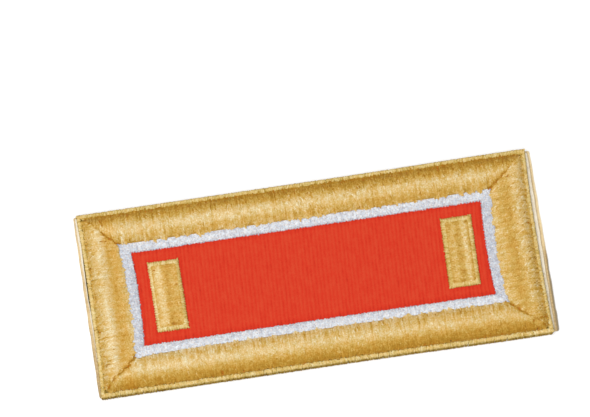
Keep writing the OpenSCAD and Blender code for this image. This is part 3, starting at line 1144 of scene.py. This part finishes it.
def makeBar(name, way, seed):
    rng = np.random.default_rng(seed)
    make = barMake
    rimNode, padNode = "bar_" + name + "_rim", "bar_" + name + "_pad"
    low, high = boxOf(rimNode)
    padLow, padHigh = boxOf(padNode)
    centre = (low + high) / 2
    left, right, front, back = make["shift"][name]
    for lower, upper in ((low, high), (padLow, padHigh)):
        lower[:2] += (left, front)
        upper[:2] += (right, back)
    outer = {"left": low[0], "right": high[0], "front": low[1], "back": high[1]}
    inner = {"left": padLow[0], "right": padHigh[0], "front": padLow[1], "back": padHigh[1]}

    def leaned(points):
        out = points.copy()
        out[..., 0] += way * faceMake["barLean"] * (points[..., 1] - centre[1])
        return out

    rim = newPiece()
    base, height = low[2], high[2] - low[2]
    for sideName, sideTone in zip(("left", "right", "front", "back"), make["rimTone"][name]):
        side = sideOf(sideName, outer, inner)
        length, width = side["length"], side["width"]
        layPadding(rim, side, base, height, make["rimPadding"], drawn=leaned)
        for layer in range(2):
            at = np.arange(make["rimPitch"] / 2 + layer * 0.1, length, make["rimPitch"])
            at = at + rng.normal(0, make["stray"], at.size)
            reach = mitreReach(side, at, waved=False)
            last = np.maximum(reach * width + 0.12, 0.12) + rng.normal(0, 0.04, at.size)
            first = rng.normal(0, make["rimJag"], at.size) - 0.02
            inset, fromMiddle = crossing(first, last, easedTurn(make["rimRings"]))
            slant = np.where(np.arange(at.size) % 2 == 0, 1, -1)[:, None] * make["rimSlant"]
            place = at[:, None] + slant * (inset / width - 0.5)
            arch = np.sin(np.pi * np.clip(0.06 + 0.5 * inset / width, 0, 0.6)) ** 0.45
            rise = base + (height + 0.06) * arch - 0.1 + 0.02 * layer
            rise = np.maximum(rise + rng.normal(0, 0.02, at.size)[:, None], base - footSlack)
            tone = sideTone + rng.normal(0, make["rimToneSpread"], at.size)[:, None]
            tone = tone - make["rimShade"] * (1 - arch)
            path = leaned(onSide(side, place, inset, rise))
            layThreads(rim, path, side["along"], make["rimHalfWidth"], make["rimHalfHeight"], tone, rng)
    finishPiece(rimNode + "_zigzag_stitches", rim, rimNode, paleGoldThread)

    pad = newPiece()
    table = np.array(make[name])
    left, right, front, back = make["over"][name]
    padLow[:2] -= (left, front)
    padHigh[:2] += (right, back)
    base, height = padLow[2], padHigh[2] - padLow[2]
    width, length = padHigh[0] - padLow[0], padHigh[1] - padLow[1]
    share, y = np.meshgrid(np.linspace(0, 1, 13), np.linspace(padLow[1] + 0.1, padHigh[1] - 0.1, 20))
    x = padLow[0] + 0.05 + share * (width - 0.1)
    rise = base + height * throughTable(table[:, :2], share, 0.02) - 0.2
    layBlock(pad, leaned(gridAt(x, y, rise)), leaned(gridAt(x, y, base)), 0.4)

    def lay(y, first, last, turn, slope, halfWidth, lifted, toneSpread):
        share, fromMiddle = crossing(first, last, turn)
        swayed = share + wander(rng, y, 5, 0.02)[:, None]
        rise = base + height * throughTable(table[:, :2], swayed, 0.02) - make["padHalfHeight"]
        fromFront, fromBack = (y - padLow[1])[:, None], (padHigh[1] - y)[:, None]
        dip, reach = make["endDip"]
        for distance in (fromFront, fromBack):
            rise = rise - dip * smoothStep(1 - distance / reach)
        run = y[:, None] + slope[:, None] * fromMiddle * width
        tone = throughTable(table[:, [0, 2]], share, 0.03) + rng.normal(0, toneSpread, y.size)[:, None]
        dark, reach = make["endShade"]
        tone = tone - dark * smoothStep(1 - np.minimum(fromFront, fromBack) / reach)
        # painted shade in the needle holes; the pad's threads are not sunk there
        for pitShare, pitAt in make["pits"][name]:
            away = np.hypot((share - pitShare) * width, run - centre[1] - pitAt)
            tone = tone - make["pitShade"] * fadeOut(away, make["pitRadius"])
        path = leaned(np.stack([padLow[0] + share * width, run, rise + lifted], -1))
        layThreads(pad, path, np.array([0, 1.0, 0]), halfWidth, make["padHalfHeight"], tone, rng)

    y = np.arange(padLow[1] + 0.1, padHigh[1] - 0.05, make["padPitch"])
    y = y + rng.normal(0, make["stray"], y.size)
    lay(y, np.zeros(y.size), np.ones(y.size), easedTurn(make["padRings"]), rng.normal(0, 0.015, y.size),
        make["padHalfWidth"], rng.normal(0, 0.01, (y.size, 1)), make["padToneSpread"])
    count = int(make["loose"] * width * length)
    y = rng.uniform(padLow[1] + 0.1, padHigh[1] - 0.1, count)
    span = rng.uniform(*make["looseSpan"], count) / width
    middle = rng.uniform(0, 1, count)
    turn = np.linspace(0, 1, 3)
    hump = 0.05 * np.sin(np.pi * turn)[None, :] - 0.025 + rng.normal(0, 0.01, (count, 1))
    lay(y, np.maximum(middle - span / 2, -0.01), np.minimum(middle + span / 2, 1.01), turn,
        rng.normal(0, make["looseSlope"], count), make["looseWidth"], hump, make["looseTone"])
    obj = finishPiece(padNode + "_satin_stitches", pad, padNode, padThread)


makeBar("left", -1, 81)
makeBar("right", 1, 82)


plyMake = {
    "corner": 0.5,  # radius of the two lower sheets' corners, mm
    "fray": 0.05,  # how far the cut edge wanders
    "bulge": 0.06,
    "edgeWidth": 0.4,  # how far in from the cut edge the sheet is pressed down
    "edgeDrop": (0.08, 0.03),  # by how much, above and below
    "flareFrom": (40, 10),  # where the ends begin to stand out, over how much
    "endDarkeningWidth": 0.5,
    "rightShadowWidth": 0.5,
    "faceShadeWidth": 0.44,
    "shadedAt": (6.0, 7.0),  # middle and reach along the end
    "greyedFrom": (-4, 8),  # where these begin, towards the front, and over how much
    "rightShadowFrom": (5, 18),
}
backingMake = {
    "reach": (0.05, 0.24),  # how far the left and right ends stand out, mm
    "flare": (0.006, -0.005),  # how that grows towards the back
    "endDarkening": (0.1, -0.25),  # how much darker the last stretch is at the left and right end; below 0 it is painted light that lifts the shade there
    "faceShade": (0.1, -0.12),  # painted shade beside the face; below 0, painted light
    "greyed": (0.19, 0.0),  # how much darker the left and right end get towards the front
    "rightShadow": 1.3,  # painted shadow on the right end's outermost strip towards the front
    "shaded": 0.0,  # beside the face's left end, where it stands off
}
stiffenerMake = {
    "reach": (-0.14, -0.18),
    "flare": (0.018, 0.006),
    "endDarkening": (0.0, 0.0),
    "faceShade": (0.18, -0.08),
    "greyed": (0.1, 0.1),
    "rightShadow": 0.0,
    "shaded": 1.4,
}


def sheetLine(half, count):
    # places across a sheet, closer together at its cut edges
    edge = np.array([0, 0.15, 0.3, 0.5, 0.9])
    return np.concatenate([-half + edge, np.linspace(-half + 1.6, half - 1.6, count), half - edge[::-1]])


def makePly(node, name, material, make, seed):
    low, high = boxOf(node)
    rng = np.random.default_rng(seed)
    centre, half = (low + high) / 2, (high - low) / 2
    radius, fray = plyMake["corner"], plyMake["fray"]
    x, y = np.meshgrid(sheetLine(half[0], 76), sheetLine(half[1], 32), indexing="ij")
    overX = np.maximum(np.abs(x) - (half[0] - radius), 0)
    overY = np.maximum(np.abs(y) - (half[1] - radius), 0)
    bend = np.maximum(overX, overY) / np.maximum(np.hypot(overX, overY), 1e-9)
    corner = (overX > 0) & (overY > 0)
    x = np.where(corner, np.sign(x) * (half[0] - radius + overX * bend), x)
    y = np.where(corner, np.sign(y) * (half[1] - radius + overY * bend), y)
    fromEdge = np.minimum(half[0] - np.abs(x), half[1] - np.abs(y))
    border = smoothStep(1 - fromEdge / plyMake["edgeWidth"])
    x = x - np.sign(x) * border * (fray + wander(rng, y, 3, fray) + rng.normal(0, 0.012, x.shape))
    y = y - np.sign(y) * border * (fray + wander(rng, x, 3, fray) + rng.normal(0, 0.012, x.shape))
    lift = wander(rng, x, 15, 0.02) + wander(rng, y, 11, 0.02) + rng.normal(0, 0.006, x.shape)
    above, below = plyMake["edgeDrop"]
    top = gridAt(x, y, high[2] - 0.03 - above * border + np.minimum(lift, 0.03))
    bottom = gridAt(x, y, low[2] + below * border)
    start, over = plyMake["flareFrom"]
    for grid in (top, bottom):
        grid[..., :2] += centre[:2]
        for way, reach, flare in zip((-1, 1), make["reach"], make["flare"]):
            atEnd = smoothStep((way * grid[..., 0] - start) / over)
            grid[..., 0] += way * (reach + flare * grid[..., 1]) * atEnd
    across = top[..., 0]
    start, over = plyMake["greyedFrom"]
    tone = 0.5 - np.where(x < 0, *make["greyed"]) * smoothStep((start - y) / over)
    middle, reach = plyMake["shadedAt"]
    shaded = make["shaded"] * smoothStep(1.3 - np.abs(y - middle) / reach)
    outermost = across - centre[0] - half[0] - make["reach"][1]
    # painted shadow on the right end's outermost strip, towards the front
    start, over = plyMake["rightShadowFrom"]
    rightShadow = smoothStep((start - y) / over) * smoothStep(outermost / plyMake["rightShadowWidth"] + 1.2)
    tone = tone - make["rightShadow"] * rightShadow
    past = faceBox["left"] - across, across - faceBox["right"]
    for end, way in enumerate((-1, 1)):
        cut = centre[0] + way * (half[0] + make["reach"][end])
        faceShadeHere = make["faceShade"][end] + (shaded if end == 0 else 0)
        # darker, or below 0 painted light, on the last stretch at each end
        tone = tone - make["endDarkening"][end] * smoothStep(1.2 - np.abs(cut - across) / plyMake["endDarkeningWidth"])
        # painted shade beside the face, painted light where below 0
        tone = tone - faceShadeHere * smoothStep(1 - np.abs(past[end]) / plyMake["faceShadeWidth"])
    piece = newPiece()
    layBlock(piece, top, bottom, tone, bulge=plyMake["bulge"])
    obj = finishPiece(name, piece, node, material)


floorHeight = -0.02 * mm
bpy.ops.mesh.primitive_plane_add(size=6, location=(0, 0, floorHeight))
floor = bpy.context.object
floor.name = "studio_floor"
makePly("backing", "backing_felt_sheet", backingCloth, backingMake, 91)
makePly("stiffener", "stiffener_cloth_sheet", stiffenerCloth,
        stiffenerMake, 92)


# Floor, light and camera
def floorMaterial():
    material, tree, shader, where = startMaterial("pale_paper_floor")
    stops = [(0.0, (0.71, 0.71, 0.71)), (1.0, (0.73, 0.73, 0.73))]
    fillInputs(tree, shader, {
        "Base Color": rampOf(tree, noiseOf(tree, where, 900.0), stops),
        "Roughness": 0.9,
        "Specular IOR Level": 0.1,
        "Emission Color": (1.0, 1.0, 1.0, 1.0),
        "Emission Strength": 0.25,  # a lit white sweep
    })
    return material


floor.data.materials.append(floorMaterial())

lightMake = {
    "away": 1.2,  # distance of the soft box from the board, m
    "size": 0.8,
    "power": 18.8,
    "tilt": (-0.14, -0.1, 1.0),  # where it hangs: above, a little to the left and the front
    "sky": 0.12,
}


def addSoftBox():
    light = bpy.data.lights.new("key_soft_box", "AREA")
    light.shape = "SQUARE"
    light.size = lightMake["size"]
    light.energy = lightMake["power"]
    holder = addObject("key_soft_box", light)
    way = Vector(lightMake["tilt"]).normalized()
    holder.location = way * lightMake["away"]
    holder.rotation_mode = "QUATERNION"
    holder.rotation_quaternion = way.to_track_quat("Z", "Y")


addSoftBox()
world = bpy.data.worlds.new("pale_studio")
world.use_nodes = True
sky = {"Color": (1.0, 1.0, 1.0, 1.0), "Strength": lightMake["sky"]}
fillInputs(world.node_tree, world.node_tree.nodes["Background"], sky)
bpy.context.scene.world = world
bpy.context.scene.view_settings.view_transform = "Standard"

cameraMake = {
    "elevation": 80.0,  # degrees above the floor
    "turn": -8.518,  # degrees round the board, from straight in front
    "distance": 800.0,  # mm
    "target": (-2.243, 15.539, 0.0),  # the floor point in the middle of the picture, mm
    "lens": 217.46,
}


def addCamera():
    make = cameraMake
    rise, turn = np.radians(make["elevation"]), np.radians(make["turn"])
    back = Vector((np.cos(rise) * np.sin(turn), -np.cos(rise) * np.cos(turn), np.sin(rise)))
    right = Vector((0, 0, 1)).cross(back).normalized()
    up = back.cross(right)
    data = bpy.data.cameras.new("photo_camera")
    data.lens = make["lens"]
    data.sensor_width = 36.0
    data.clip_start, data.clip_end = 0.05, 20.0
    camera = addObject("photo_camera", data)
    place = (Vector(make["target"]) + back * make["distance"]) * mm
    camera.matrix_world = Matrix.Translation(place) @ Matrix((right, up, back)).transposed().to_4x4()
    bpy.context.scene.camera = camera


addCamera()
print("stage: light and camera set")
